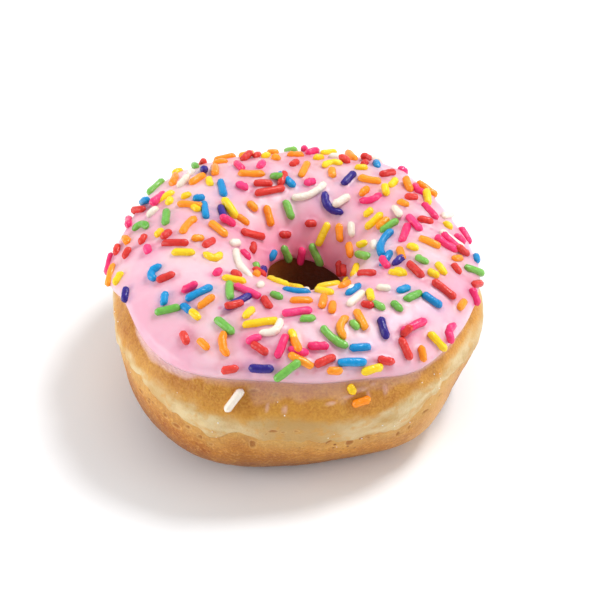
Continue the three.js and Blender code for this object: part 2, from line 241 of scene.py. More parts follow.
def finish_tree(tree, geometry, material):
    """Ends a tree: smooth faces, real geometry, its material."""
    smoothed = add_node(tree, "GeometryNodeSetShadeSmooth", inputs={"Geometry": geometry})
    real = add_node(tree, "GeometryNodeRealizeInstances", inputs={"Geometry": smoothed.outputs[0]})
    painted = add_node(tree, "GeometryNodeSetMaterial",
                       inputs={"Geometry": real.outputs[0], "Material": material})
    add_node(tree, "NodeGroupOutput", inputs={"Result": painted.outputs[0]})


def run_tree(piece, tree, values):
    """Runs a tree on a piece, and keeps the result as the piece's plain mesh."""
    modifier = piece.modifiers.new(tree.name, "NODES")
    modifier.node_group = tree
    for item in tree.interface.items_tree:
        if item.item_type == "SOCKET" and item.name in values:
            modifier[item.identifier] = values[item.name]
    depsgraph = bpy.context.evaluated_depsgraph_get()
    shaped = bpy.data.meshes.new_from_object(
        piece.evaluated_get(depsgraph), preserve_all_data_layers=True, depsgraph=depsgraph)
    piece.modifiers.remove(modifier)
    piece.data = shaped
    shaped.name = piece.name


MULTIPLY = {"operation": "MULTIPLY"}
MULTIPLY_ADD = {"operation": "MULTIPLY_ADD"}
# A soft skin: broad swellings and a fine grain pushed along the surface, where it is free to move
skin_tree, given = new_tree("uneven_skin", (
    ("Skin", "Geometry", None), ("Swelling size", "Float", 9.0 * MM),
    ("Swelling height", "Float", 0.3 * MM), ("Grain size", "Float", 1.4 * MM),
    ("Grain height", "Float", 0.05 * MM), ("Seed", "Float", 1.0), ("Material", "Material", None),
))
place = add_node(skin_tree, "GeometryNodeInputPosition").outputs[0]
may_move = add_node(skin_tree, "GeometryNodeInputNamedAttribute", {"data_type": "FLOAT"},
                    {"Name": "free"}).outputs[0]
push = 0.0
for size, height in (("Swelling size", "Swelling height"), ("Grain size", "Grain height")):
    scale = add_node(skin_tree, "ShaderNodeMath", {"operation": "DIVIDE"},
                     {0: 1.0, 1: given.outputs[size]})
    waves = add_node(skin_tree, "ShaderNodeTexNoise", {"noise_dimensions": "4D"},
                     {"Vector": place, "W": given.outputs["Seed"], "Scale": scale.outputs[0],
                      "Detail": 2.0})
    # from the noise's 0 to 1 to a push in or out
    centred = add_node(skin_tree, "ShaderNodeMath", MULTIPLY_ADD,
                       {0: waves.outputs[0], 1: 2.0, 2: -1.0})
    push = add_node(skin_tree, "ShaderNodeMath", MULTIPLY_ADD,
                    {0: centred.outputs[0], 1: given.outputs[height], 2: push}).outputs[0]
held = add_node(skin_tree, "ShaderNodeMath", MULTIPLY, {0: push, 1: may_move})
normal = add_node(skin_tree, "GeometryNodeInputNormal").outputs[0]
outward = add_node(skin_tree, "ShaderNodeVectorMath", {"operation": "SCALE"},
                   {0: normal, "Scale": held.outputs[0]})
pushed = add_node(skin_tree, "GeometryNodeSetPosition",
                  inputs={"Geometry": given.outputs["Skin"], "Offset": outward.outputs[0]})
finish_tree(skin_tree, pushed.outputs[0], given.outputs["Material"])

# Pits where gas bubbles burst: degrees round, height, half-width, half-height and depth
PITS = (
    (258.3, 15.2, 0.65, 1.35, 0.45), (264.5, 20.4, 1.0, 0.6, 0.35), (262.5, 19.4, 0.45, 0.5, 0.25),
    (267.3, 19.9, 0.5, 0.4, 0.3), (271, 20.2, 0.6, 0.3, 0.3), (280.6, 14.4, 0.6, 0.6, 0.4),
    (287, 12.6, 1.0, 1.1, 0.5), (279, 14.3, 0.35, 0.35, 0.35), (290.5, 13.4, 0.55, 0.8, 0.35),
    (273, 14.0, 0.3, 0.3, 0.3), (261.5, 15.2, 0.3, 0.4, 0.3), (284, 11.5, 0.3, 0.25, 0.25),
    (293, 12.9, 0.5, 0.4, 0.35), (303, 11.0, 0.6, 0.8, 0.4), (306.5, 12.0, 0.5, 0.9, 0.35),
    (216, 14.5, 1.2, 0.6, 0.4), (213, 17.0, 0.9, 0.5, 0.35), (225, 17.6, 0.6, 0.8, 0.35),
    (221, 18.5, 1.3, 0.6, 0.35), (236, 16.0, 1.2, 0.6, 0.4), (240, 17.3, 0.7, 0.6, 0.35),
    (243.5, 15.4, 0.5, 0.7, 0.4), (246.5, 13.6, 0.5, 0.6, 0.3), (232, 17.4, 0.7, 0.7, 0.4),
    (312, 15.0, 1.4, 0.5, 0.35), (318, 17.0, 1.0, 0.4, 0.3), (340, 15.0, 1.2, 0.6, 0.4),
    (20, 14.0, 1.4, 0.7, 0.4), (48, 16.0, 0.9, 0.6, 0.4), (75, 12.0, 1.2, 0.8, 0.4),
    (110, 15.0, 1.1, 0.6, 0.4), (137, 13.0, 0.8, 0.7, 0.45), (163, 16.0, 1.3, 0.6, 0.4),
    (190, 14.0, 0.8, 0.9, 0.4), (258, 29.0, 1.2, 0.3, 0.3), (264.5, 28.4, 0.9, 0.3, 0.25),
)
# The icing's thin syrup, run out below its edge: degrees round, half-width in degrees, reach
# down, how much it covers, how softly it ends, thickness
FILMS = (
    (0, 180, 0.6, 0.6, 0.8, 0.1), (226, 15, 1.25, 0.9, 0.9, 0.18), (250, 8, 1.4, 0.25, 1.0, 0.08),
    (272, 16, 4.0, 0.32, 1.5, 0.12), (300, 11, 2.4, 0.26, 1.2, 0.1),
)
# its lower limit is fingered, it dies out towards its sides, thins downwards and starts under
# the icing
FINGERS = ((0.16, 11, -40 / 11), (0.12, 29, 0), (0.08, 53, 0))
FILM_END = 1.25
FILM_FADE = 0.5
FILM_THINNING = 0.5
FILM_TUCK = 2.0
# Drops of it that set glossy: degrees round, height, half-width, half-height, rise
DROPS = (
    (290.5, 27.2, 1.9, 0.45, 0.4), (298.0, 26.2, 0.5, 1.2, 0.4), (286.0, 26.5, 1.7, 0.4, 0.35),
    (292.5, 25.8, 0.4, 0.9, 0.3), (267.5, 25.6, 0.5, 0.8, 0.25), (262.5, 26.2, 0.45, 0.9, 0.25),
    (294.5, 27.6, 0.9, 0.4, 0.35), (281.0, 25.8, 1.2, 0.35, 0.25),
)
DROP_COVER = 0.45
SPOT_STEEPNESS = 1.5
# the skin is held under the icing and at the foot, and is free this many mm below the icing's
# edge, degrees down the wall of the hole and mm above the floor
FREE_FROM_EDGE = 1.5
FREE_FROM_THROAT = 6.0
FREE_FROM_FLOOR = 2.5
# how sharply the wall of the hole begins
WALL_TURN = 4.0
# painted highlights: white grains lie from this far below the icing's edge to this height above the
# seam
GRAINY_FROM = 2.5
GRAINY_TO = -3.0
AROUND = 480
# steps up the section: to the groove, over the ledge, to the icing's edge, under the icing, down
# the wall of the hole, across the foot
SECTION_STEPS = (56, 12, 44, 24, 34, 4)

deg = np.arange(AROUND) * 360.0 / AROUND
seam = uneven(deg, SEAM_HEIGHT, SEAM_WAVES, SEAM_SWELLS) \
    + uneven(deg, 0.0, RAGGED_WAVES, RAGGED_SWELLS)
foot_out = section_angle(deg, 0.0 * deg, True)
groove = section_angle(deg, seam - 2.0 * LEDGE_DROP, True)
ledge = section_angle(deg, seam + LEDGE_RISE, True)
edge = section_angle(deg, uneven(deg, EDGE_HEIGHT, EDGE_WAVES, EDGE_SWELLS), True)
throat = section_angle(deg, uneven(deg, THROAT_HEIGHT, THROAT_WAVES), False)
foot_in = section_angle(deg, 0.0 * deg, False)
turns = (foot_out, groove, ledge, edge, throat, foot_in, foot_out + 360.0)
up = np.concatenate([steps_between(start, end, count)
                     for start, end, count in zip(turns, turns[1:], SECTION_STEPS)], axis=1)
round_ring = deg[:, None] + 0.0 * up
dough_mm, above_seam = dough_point(round_ring, up, seam[:, None])
dough_out = dough_normal(round_ring, up)
outer_side = np.cos(np.radians(up)) > 0
below_edge = (edge[:, None] - up) * MM_PER_DEGREE


def spot(at, height, half_width, half_height):
    """1 in the middle of a round spot on the dough's outer side, 0 outside it."""
    sideways = apart(round_ring, at) * math.radians(1) * RIM_RADIUS / half_width
    upwards = (dough_mm[..., 2] - height) / half_height
    return np.exp(-((sideways ** 2 + upwards ** 2) ** SPOT_STEEPNESS)) * outer_side


pit = np.zeros_like(above_seam)
for at, height, half_width, half_height, depth in PITS:
    pit = np.maximum(pit, depth * spot(at, height, half_width, half_height))
film = np.zeros_like(above_seam)
film_rise = np.zeros_like(above_seam)
fingers = uneven(round_ring, 1.0, FINGERS)
for at, width, reach, cover, fade, thickness in FILMS:
    along = smooth((FILM_END - np.abs(apart(round_ring, at)) / width) / FILM_FADE)
    inside = smooth((reach * fingers * along - below_edge) / fade + 0.5) * (below_edge > -FILM_TUCK)
    thinned = 1.0 - FILM_THINNING * np.clip(below_edge / reach, 0.0, 1.0)
    film = np.maximum(film, cover * thinned * inside * along)
    film_rise = np.maximum(film_rise, thickness * inside * along)
for at, height, half_width, half_height, rise in DROPS:
    drop = spot(at, height, half_width, half_height)
    film = np.maximum(film, DROP_COVER * drop)
    film_rise = np.maximum(film_rise, rise * drop)
dough_mm = dough_mm + dough_out * (film_rise - pit)[..., None]

below_top = uneven(round_ring, BAND_TOP, BAND_WAVES, BAND_SWELLS) - dough_mm[..., 2]
bare = np.where(outer_side, smooth(below_edge / FREE_FROM_EDGE),
                smooth((up - throat[:, None]) / FREE_FROM_THROAT))
dough = ring_piece("dough_ring_crust", dough_mm, {
    "above_seam": above_seam, "below_top": below_top, "pit": pit, "film": film,
    "free": bare * smooth(dough_mm[..., 2] / FREE_FROM_FLOOR),
    "toast_and_shade": np.clip(uneven(round_ring, TOAST_AND_SHADE, (), TOAST_AND_SHADE_SWELLS), 0.0, 1.0),
    # painted light on the lower crust's front right
    "lit_lower_crust": uneven(round_ring, 0.0, (), LIT_LOWER_CRUST),
    "hole_wall_lit": uneven(round_ring, 0.0, (), HOLE_WALL_LIT),
    "inner": 1.0 - smooth(np.cos(np.radians(up)) * WALL_TURN + 0.5),
    "grainy": (below_edge > GRAINY_FROM) * outer_side * (above_seam > GRAINY_TO),
})


def linear(hex_colour):
    """sRGB hex to the linear colour that the shader sockets take."""
    parts = [int(hex_colour[i:i + 2], 16) / 255.0 for i in (1, 3, 5)]
    return [p / 12.92 if p <= 0.04045 else ((p + 0.055) / 1.055) ** 2.4 for p in parts] + [1.0]


def new_material(name, finish):
    """A material with its output and a Principled shader, whose plain values are its finish."""
    material = bpy.data.materials.new(name)
    material.use_nodes = True
    tree = material.node_tree
    tree.nodes.clear()
    shader = add_node(tree, "ShaderNodeBsdfPrincipled", inputs=finish)
    add_node(tree, "ShaderNodeOutputMaterial", inputs={"Surface": shader.outputs[0]})
    return material, tree, shader


EASED = {"interpolation_type": "SMOOTHSTEP"}
BLEND = {"data_type": "RGBA"}
# a Mix node's sockets when it blends colours, and its result
SHARE, UNDER, OVER, BLENDED = 0, 6, 7, 2
# Fried yeast dough: a thin browned skin over pale crumb, set in hot fat. The eye sees a soft,
# barely greasy skin, mottled where it browned unevenly, and a matt cream band where it did not.
crust, tree, shader = new_material("fried_yeast_dough", {
    "Specular IOR Level": 0.4, "Subsurface Weight": 0.2, "Subsurface Radius": (1.0, 0.5, 0.2),
    "Subsurface Scale": 1.5 * MM})
place = add_node(tree, "ShaderNodeTexCoord").outputs["Object"]
height, under_top, pit_depth, syrup, inner, toast_and_shade, lit_lower_crust, hole_wall_lit = (
    add_node(tree, "ShaderNodeAttribute", {"attribute_name": name}).outputs["Fac"]
    for name in ("above_seam", "below_top", "pit", "film", "inner", "toast_and_shade", "lit_lower_crust",
                 "hole_wall_lit"))
# browning varies over about 14 mm, blotches over 3 mm, flecks over 1 mm, the grain over 0.5 mm
clouds, blotches, flecks, grain = (
    add_node(tree, "ShaderNodeTexNoise", inputs={
        "Vector": place, "Scale": scale, "Detail": 3.0}).outputs[0]
    for scale in (70.0, 330.0, 1000.0, 2000.0))
# streaks lie level, about 7 mm long and half as high
level = add_node(tree, "ShaderNodeMapping", inputs={"Vector": place, "Scale": (1, 1, 2)})
streaks = add_node(tree, "ShaderNodeTexNoise", inputs={
    "Vector": level.outputs[0], "Scale": 150.0, "Detail": 4.0}).outputs[0]
# fine pores, up to 0.6 mm across and about 1.5 mm apart
pores = add_node(tree, "ShaderNodeTexVoronoi", inputs={
    "Vector": place, "Scale": 650.0}).outputs["Distance"]
browning = 0.0
for pattern, weight in ((clouds, 0.35), (blotches, 0.2), (flecks, 0.15), (grain, 0.3)):
    browning = add_node(tree, "ShaderNodeMath", MULTIPLY_ADD,
                        {0: pattern, 1: weight, 2: browning}).outputs[0]
# the band's upper limit wanders, and so does the rim of a pit's floor
wander, pit_floor = (
    add_node(tree, "ShaderNodeMath", MULTIPLY_ADD, {0: pattern, 1: size, 2: limit}).outputs[0]
    for pattern, size, limit in ((streaks, 4.0, under_top), (flecks, 0.2, pit_depth)))

# how much of each colour shows: what it follows, from where to where, share at either end
tone, cream_tone, foot_brown_and_shade, is_upper, patch, near_seam, wet = (
    add_node(tree, "ShaderNodeMapRange", inputs={
        "Value": value, "From Min": low, "From Max": high, "To Min": at_low, "To Max": at_high})
    .outputs[0] for value, low, high, at_low, at_high in (
        (browning, 0.38, 0.62, 0.0, 1.0),
        (streaks, 0.3, 0.62, 0.0, 1.0),
        # browned most towards the foot, and darker there still with painted shade near the table
        (height, -17.0, -5.0, 0.9, 0.0),
        (height, -0.2, 0.2, 0.0, 1.0),
        # pores gather in patches near the seam
        (clouds, 0.5, 0.6, 0.0, 1.0),
        (height, -7.0, -3.0, 0.0, 1.0),
        # syrup is smoother than crust
        (syrup, 0.0, 0.5, 0.5, 0.15)))
lifted, blistered, golden, band_foot, band_top, caught, pore, pit_rim, in_pit = (
    add_node(tree, "ShaderNodeMapRange", EASED, {
        "Value": value, "From Min": low, "From Max": high, "To Min": at_low, "To Max": at_high})
    .outputs[0] for value, low, high, at_low, at_high in (
        # paler just under the seam, where the dough lifted off the fat
        (height, -6.5, -0.5, 0.0, 1.0),
        # flecked where small blisters kept the skin off the fat
        (flecks, 0.53, 0.68, 0.0, 0.24),
        # golden next to the band
        (wander, -1.2, 2.4, 0.0, 0.5),
        # the band is sharp below at the ledge, and thins out above
        (height, -0.4, 0.05, 0.0, 1.0),
        (wander, 0.9, 3.4, 0.0, 1.0),
        # in places the frying caught the band too
        (blotches, 0.52, 0.68, 1.0, 0.45),
        (pores, 0.12, 0.3, 1.0, 0.0),
        # a burst bubble has a pale, broken rim and an amber floor
        (pit_depth, 0.02, 0.1, 0.0, 0.7),
        (pit_floor, 0.18, 0.42, 0.0, 0.8)))
under_seam = add_node(tree, "ShaderNodeMath", {"operation": "LESS_THAN"},
                      {0: height, 1: -0.3}).outputs[0]
lifted, golden, pit_rim, band, pore, spread = (
    add_node(tree, "ShaderNodeMath", MULTIPLY, {0: amount, 1: limit}).outputs[0]
    for amount, limit in ((lifted, streaks), (golden, is_upper), (pit_rim, blotches),
                          (band_foot, band_top), (pore, under_seam), (patch, near_seam)))
band, pore = (
    add_node(tree, "ShaderNodeMath", MULTIPLY, {0: amount, 1: limit}).outputs[0]
    for amount, limit in ((band, caught), (pore, spread)))

# the hole's wall: its dark tone is painted shade in the hole, its pale one painted light on the
# left
upper, lower, cream, hole_wall_shade_and_light = (
    add_node(tree, "ShaderNodeMix", BLEND, {
        SHARE: amount, UNDER: linear(first), OVER: linear(second)}).outputs[BLENDED]
    for amount, first, second in (
        (tone, "#B06713", "#D79D3C"), (tone, "#A15410", "#D29034"),
        (cream_tone, "#C49A55", "#DCC99C"), (hole_wall_lit, "#74380F", "#D08A40")))
# the band's darker tone: partly toasting, partly painted shade at the front
cream = add_node(tree, "ShaderNodeMix", BLEND, {
    SHARE: toast_and_shade, UNDER: cream, OVER: linear("#C39A5A")}).outputs[BLENDED]
# each colour lies over the ones before it, from the lower crust to the syrup
colour = lower
for amount, over in (
        # painted shade towards the foot, then painted light on the lower crust's front right
        (foot_brown_and_shade, linear("#733B0C")), (lit_lower_crust, linear("#DDA964")), (lifted, linear("#D5AB5E")),
        (blistered, linear("#E2B368")), (is_upper, upper), (golden, linear("#D8A03E")),
        (band, cream), (inner, hole_wall_shade_and_light), (pore, linear("#8C4A12")), (pit_rim, linear("#DDB26C")),
        (in_pit, linear("#A35E16")), (syrup, linear("#EDC6CA"))):
    colour = add_node(tree, "ShaderNodeMix", BLEND, {
        SHARE: amount, UNDER: colour, OVER: over}).outputs[BLENDED]
relief = add_node(tree, "ShaderNodeMath", MULTIPLY_ADD, {0: blotches, 1: 1.2, 2: grain}).outputs[0]
bump = add_node(tree, "ShaderNodeBump", inputs={
    "Height": relief, "Strength": 0.55, "Distance": 0.4 * MM}).outputs[0]
tree.links.new(colour, shader.inputs["Base Color"])
tree.links.new(wet, shader.inputs["Roughness"])
tree.links.new(bump, shader.inputs["Normal"])
run_tree(dough, skin_tree, {"Swelling size": 9.0 * MM, "Swelling height": 0.4 * MM,
                            "Grain size": 1.5 * MM, "Grain height": 0.06 * MM, "Seed": 3.0,
                            "Material": crust})
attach(dough, "root")
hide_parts("dough_ring")

# ---------------------------------------------------------------------------------------------
# Painted highlights. A few stray white grains, 0.3 mm across, on the crust and the syrup, for small
# glints.
# ---------------------------------------------------------------------------------------------
# per square metre where they lie
GRAINS = 14000.0
GRAIN_RADIUS = 0.17 * MM
SMALLEST_GRAIN = 0.6
LARGEST_GRAIN = 1.3
GRAIN_SEED = 5
grain_tree, given = new_tree("stray_grains", (
    ("Skin", "Geometry", None), ("Grains per square metre", "Float", GRAINS),
    ("Grain radius", "Float", GRAIN_RADIUS), ("Seed", "Int", GRAIN_SEED),
    ("Material", "Material", None),
))
open_skin = add_node(grain_tree, "GeometryNodeInputNamedAttribute", {"data_type": "FLOAT"},
                     {"Name": "grainy"}).outputs[0]
thickly = add_node(grain_tree, "ShaderNodeMath", MULTIPLY,
                   {0: open_skin, 1: given.outputs["Grains per square metre"]}).outputs[0]
fallen = add_node(grain_tree, "GeometryNodeDistributePointsOnFaces", inputs={
    "Mesh": given.outputs["Skin"], "Density": thickly, "Seed": given.outputs["Seed"]})
crystal = add_node(grain_tree, "GeometryNodeMeshIcoSphere",
                   inputs={"Radius": given.outputs["Grain radius"], "Subdivisions": 1})
# the number sockets of a Random Value node are 2 and 3, and its number result is 1
uneven_size = add_node(grain_tree, "FunctionNodeRandomValue", {"data_type": "FLOAT"}, {
    2: SMALLEST_GRAIN, 3: LARGEST_GRAIN, "Seed": given.outputs["Seed"]}).outputs[1]
strewn = add_node(grain_tree, "GeometryNodeInstanceOnPoints", inputs={
    "Points": fallen.outputs["Points"], "Instance": crystal.outputs["Mesh"],
    "Rotation": fallen.outputs["Rotation"], "Scale": uneven_size})
finish_tree(grain_tree, strewn.outputs[0], given.outputs["Material"])

# White grains as painted highlights: small bright specks that stand for glints on the crust.
glint_white, tree, shader = new_material("white_glint_speck", {
    "Roughness": 0.15, "Subsurface Weight": 0.3, "Subsurface Scale": 0.2 * MM})
place = add_node(tree, "ShaderNodeTexCoord").outputs["Object"]
facets = add_node(tree, "ShaderNodeTexNoise", inputs={
    "Vector": place, "Scale": 4000.0}).outputs[0]
white = add_node(tree, "ShaderNodeMix", BLEND, {
    SHARE: facets, UNDER: linear("#F3E9DC"), OVER: linear("#FFFDF8")}).outputs[BLENDED]
tree.links.new(white, shader.inputs["Base Color"])
grains = new_object("glint_specks", dough.data.copy())
run_tree(grains, grain_tree, {"Grains per square metre": GRAINS, "Grain radius": GRAIN_RADIUS,
                              "Seed": GRAIN_SEED, "Material": glint_white})
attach(grains, "root")
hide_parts("dough_ring")

# ---------------------------------------------------------------------------------------------
# Icing. Pink sugar icing: the upper half was dipped in it warm, it ran to a rounded edge round
# the outside and down into the hole, and it set to a satin skin about 2 mm thick.
# ---------------------------------------------------------------------------------------------
ICING_GAP = 0.32
ICING_THICKNESS = 2.2
# a thicker bead runs round just above the edge
BEAD_SIZE = 0.35
BEAD_AT = 3.0
BEAD_WIDTH = 2.2
EDGE_ROUNDING = 2.3
THROAT_ROUNDING = 1.7
ICING_RIPPLES = ((0.18, 5, 2), (0.12, 9, -3))
# Stretch lines where the setting skin dragged: degrees and share across at both ends, height
CREASES = (
    (22, 0.76, 11, 0.64, 0.2), (19, 0.8, 6, 0.70, -0.2), (27, 0.78, 17, 0.68, 0.14),
    (359, 0.59, 0, 0.49, 0.22), (0, 0.49, 356, 0.36, 0.26), (356, 0.36, 353, 0.24, 0.16),
    (176, 0.77, 157, 0.86, 0.22), (157, 0.86, 136, 0.94, 0.2), (168, 0.80, 150, 0.88, -0.16),
    (201, 0.56, 190, 0.67, 0.14), (330, 0.55, 318, 0.45, 0.12), (95, 0.4, 108, 0.52, 0.14),
)
CREASE_WIDTH = 0.42
# share of its length over which a crease runs out past its ends
CREASE_TAIL = 0.15
ICING_ROWS = 160
UNDERSIDE_ROWS = 30
# rows crowd towards both edges, where the icing turns under
ROW_CROWDING = 0.055
# share of the gap under the icing that its underside stands off the dough
UNDERSIDE_GAP = 0.5
# painted shade: a deeper pink from this share across down into the hole, least on the right
THROAT_SHADE_FROM = 0.7
THROAT_SHADE_FADE = 0.28
THROAT_SHADE_SWELLS = ((-0.6, 15, 38),)
# share across at either edge where the skin is held
LIP = 0.02


def rounded_edge(distance, rounding):
    t = np.clip(distance / rounding, 0.0, 1.0)
    return np.sqrt(1.0 - (1.0 - t) * (1.0 - t))


def icing_top(deg, up, edge, throat):
    """Height of the icing's outer face above the dough, in mm."""
    from_edge = (up - edge) * MM_PER_DEGREE
    from_throat = (throat - up) * MM_PER_DEGREE
    body = ICING_THICKNESS + BEAD_SIZE * np.exp(-(((from_edge - BEAD_AT) / BEAD_WIDTH) ** 2))
    for size, times_round, times_up in ICING_RIPPLES:
        body = body + size * np.cos(np.radians(times_round * deg + times_up * up))
    lips = rounded_edge(from_edge, EDGE_ROUNDING) * rounded_edge(from_throat, THROAT_ROUNDING)
    return ICING_GAP + body * lips


def icing_point(deg, across):
    """A point on the icing, across from 0 at the outer edge to 1 in the throat."""
    edge = section_angle(deg, uneven(deg, EDGE_HEIGHT, EDGE_WAVES, EDGE_SWELLS), True)
    throat = section_angle(deg, uneven(deg, THROAT_HEIGHT, THROAT_WAVES), False)
    up = edge + (throat - edge) * across
    lift = icing_top(deg, up, edge, throat)
    return dough_point(deg, up)[0] + dough_normal(deg, up) * np.expand_dims(lift, -1)


share = np.linspace(0.0, 1.0, ICING_ROWS)
share = share - ROW_CROWDING * np.sin(2.0 * math.pi * share)
outer_up = edge[:, None] + (throat - edge)[:, None] * share[None, :]
inner_up = steps_between(throat, edge, UNDERSIDE_ROWS)[:, 1:]
outer_round = deg[:, None] + 0.0 * outer_up
inner_round = deg[:, None] + 0.0 * inner_up
outer_lift = icing_top(outer_round, outer_up, edge[:, None], throat[:, None])
outer_out = dough_normal(outer_round, outer_up)
outer_mm = dough_point(outer_round, outer_up)[0] + outer_out * outer_lift[..., None]
creased = np.zeros_like(outer_lift)
for start_deg, start_across, end_deg, end_across, rise in CREASES:
    start = icing_point(float(start_deg), start_across)
    end = icing_point(float(end_deg), end_across)
    run = (outer_mm - start) @ (end - start) / ((end - start) @ (end - start))
    nearest = start + np.clip(run, 0.0, 1.0)[..., None] * (end - start)
    away = np.linalg.norm((outer_mm - nearest)[..., :2], axis=-1)
    from_end = np.minimum(run + CREASE_TAIL, 1.0 + CREASE_TAIL - run)
    ends = smooth(from_end / (2.0 * CREASE_TAIL))
    creased += rise * ends * np.exp(-((away / CREASE_WIDTH) ** 2))
outer_mm = outer_mm + outer_out * creased[..., None]
inner_mm = dough_point(inner_round, inner_up)[0] \
    + dough_normal(inner_round, inner_up) * (UNDERSIDE_GAP * ICING_GAP)
# painted shade in the hole
in_throat = smooth((share[None, :] - THROAT_SHADE_FROM) / THROAT_SHADE_FADE) \
    * uneven(outer_round, 1.0, (), THROAT_SHADE_SWELLS)
lip_free = smooth(np.minimum(share, 1.0 - share)[None, :] / LIP) + 0.0 * outer_up
icing = ring_piece("icing_coat", np.concatenate([outer_mm, inner_mm], axis=1), {
    "in_throat": np.concatenate([in_throat, 0.0 * inner_up], axis=1),
    "free": np.concatenate([lip_free, 0.0 * inner_up], axis=1),
})

TINT = {"data_type": "RGBA", "blend_type": "MULTIPLY"}
# Fondant icing: ground sugar set in syrup, coloured pink, cast by dipping. It gives a soft
# satin sheen, light that glows a little way in, and specks where the colour did not dissolve.
fondant, tree, shader = new_material("pink_fondant_icing", {
    "Roughness": 0.36, "Sheen Weight": 0.2, "Subsurface Weight": 0.45,
    "Subsurface Radius": (1.0, 0.45, 0.5), "Subsurface Scale": 1.8 * MM})
place = add_node(tree, "ShaderNodeTexCoord").outputs["Object"]
throat_shade = add_node(tree, "ShaderNodeAttribute", {"attribute_name": "in_throat"}).outputs["Fac"]
drawn_dye_and_shade = add_node(tree, "ShaderNodeAttribute", {"attribute_name": "dye_and_shade"}).outputs["Color"]
# the colour is cloudy over about 13 mm, and the skin uneven over about 2 mm
clouds, fine = (
    add_node(tree, "ShaderNodeTexNoise", inputs={
        "Vector": place, "Scale": scale, "Detail": 3.0}).outputs[0]
    for scale in (75.0, 420.0))
# specks of undissolved colour, up to 1 mm across and about 7 mm apart
specks = add_node(tree, "ShaderNodeTexVoronoi", inputs={
    "Vector": place, "Scale": 150.0}).outputs["Distance"]
cloudy, uneven_dye_and_shade = (
    add_node(tree, "ShaderNodeMapRange", inputs={
        "Value": value, "From Min": low, "From Max": high}).outputs[0]
    for value, low, high in ((clouds, 0.36, 0.62), (fine, 0.3, 0.6)))
speck = add_node(tree, "ShaderNodeMapRange", EASED, {
    "Value": specks, "From Min": 0.03, "From Max": 0.12, "To Min": 0.6, "To Max": 0.0}).outputs[0]
pink = add_node(tree, "ShaderNodeMix", BLEND, {
    SHARE: cloudy, UNDER: linear("#E6AABE"), OVER: linear("#EAC5D0")}).outputs[BLENDED]
# over it the specks, then the dye drawn out of the sprinkles, which tints the icing close round
# them unevenly and is partly painted shade, and in the hole a deeper pink, which is painted shade
for settings, amount, over in ((BLEND, speck, linear("#DC799D")), (TINT, uneven_dye_and_shade, drawn_dye_and_shade),
                               (BLEND, throat_shade, linear("#FC8CAE"))):
    pink = add_node(tree, "ShaderNodeMix", settings, {
        SHARE: amount, UNDER: pink, OVER: over}).outputs[BLENDED]
bump = add_node(tree, "ShaderNodeBump", inputs={
    "Height": fine, "Strength": 0.12, "Distance": 0.5 * MM}).outputs[0]
tree.links.new(pink, shader.inputs["Base Color"])
tree.links.new(bump, shader.inputs["Normal"])
run_tree(icing, skin_tree, {"Swelling size": 8.0 * MM, "Swelling height": 0.22 * MM,
                            "Grain size": 2.5 * MM, "Grain height": 0.03 * MM, "Seed": 7.0,
                            "Material": fondant})
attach(icing, "root")
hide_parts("icing")

# ---------------------------------------------------------------------------------------------
# Rod sprinkles (jimmies). Extruded sugar paste, cut short, tumbled and glazed, scattered by
# hand while the icing was wet, so they lie every way, sink in a little and lean on each other.
# ---------------------------------------------------------------------------------------------
ROD_RADIUS = 0.9
# the round tip's length, in radii
ROD_TIP = 0.95
# the swept rods are a little thicker than the radius that they lie by
ROUNDED = 1.07
SHORT_END_THINNER = 0.96
# a rod's axis lies this many radii above the surface
SIT = 0.42
SCATTERED = 96
LATE = 62
SEED = 20177
# share across the icing where the scattered ones fell
ACROSS_FROM = 0.03
ACROSS_SPREAD = 0.91
SHORTEST = 3.0
LENGTH_SPREAD = 3.4
# more of them are short than long
LENGTH_BIAS = 1.3
LATE_SHORTER = 0.9
# part of the icing that the last ones missed: place, width, share across, breadth
LATE_BARE = (210, 26, 0.2, 0.3)
WIDTH_SPREAD = 0.12
CURL = 0.6
CURLED_SHARE = 0.12
# only longer ones curl
CURLED_FROM = 4
# gap between two axes below which one rod is dropped, or lies stacked on the other
TOUCHING = 2.1
# a few lie on another: lifted, and rising this much along their length towards it
STACKED_SHARE = 0.1
STACKED_LIFT = 0.45
STACKED_RISE = 1.3
# rods whose middles are this far apart aren't compared
NEIGHBOUR = 9.0
# how thickly they fell everywhere, and more or less in patches: size, degrees round, width,
# share across, breadth
EVEN_FALL = 0.6
LEAST_FALL = 0.03
PATCHES = (
    (0.5, 222, 26, 0.56, 0.2), (0.5, 130, 50, 0.25, 0.25), (0.4, 25, 42, 0.25, 0.26),
    (0.4, 290, 40, 0.7, 0.16), (-0.6, 185, 30, 0.18, 0.15), (-0.75, 226, 24, 0.0, 0.14),
    (-0.45, 276, 40, 0.16, 0.22), (-0.5, 40, 24, 0.62, 0.18), (-0.45, 322, 16, 0.45, 0.16),
    (-0.45, 188, 24, 0.8, 0.2),
)
# fewer stayed in the hole
THROAT_LOSS = 0.6
THROAT_FROM = 0.8
THROAT_FADE = 0.1
RED, ORANGE, YELLOW, GREEN, BLUE, INDIGO, PINK, WHITE = range(8)
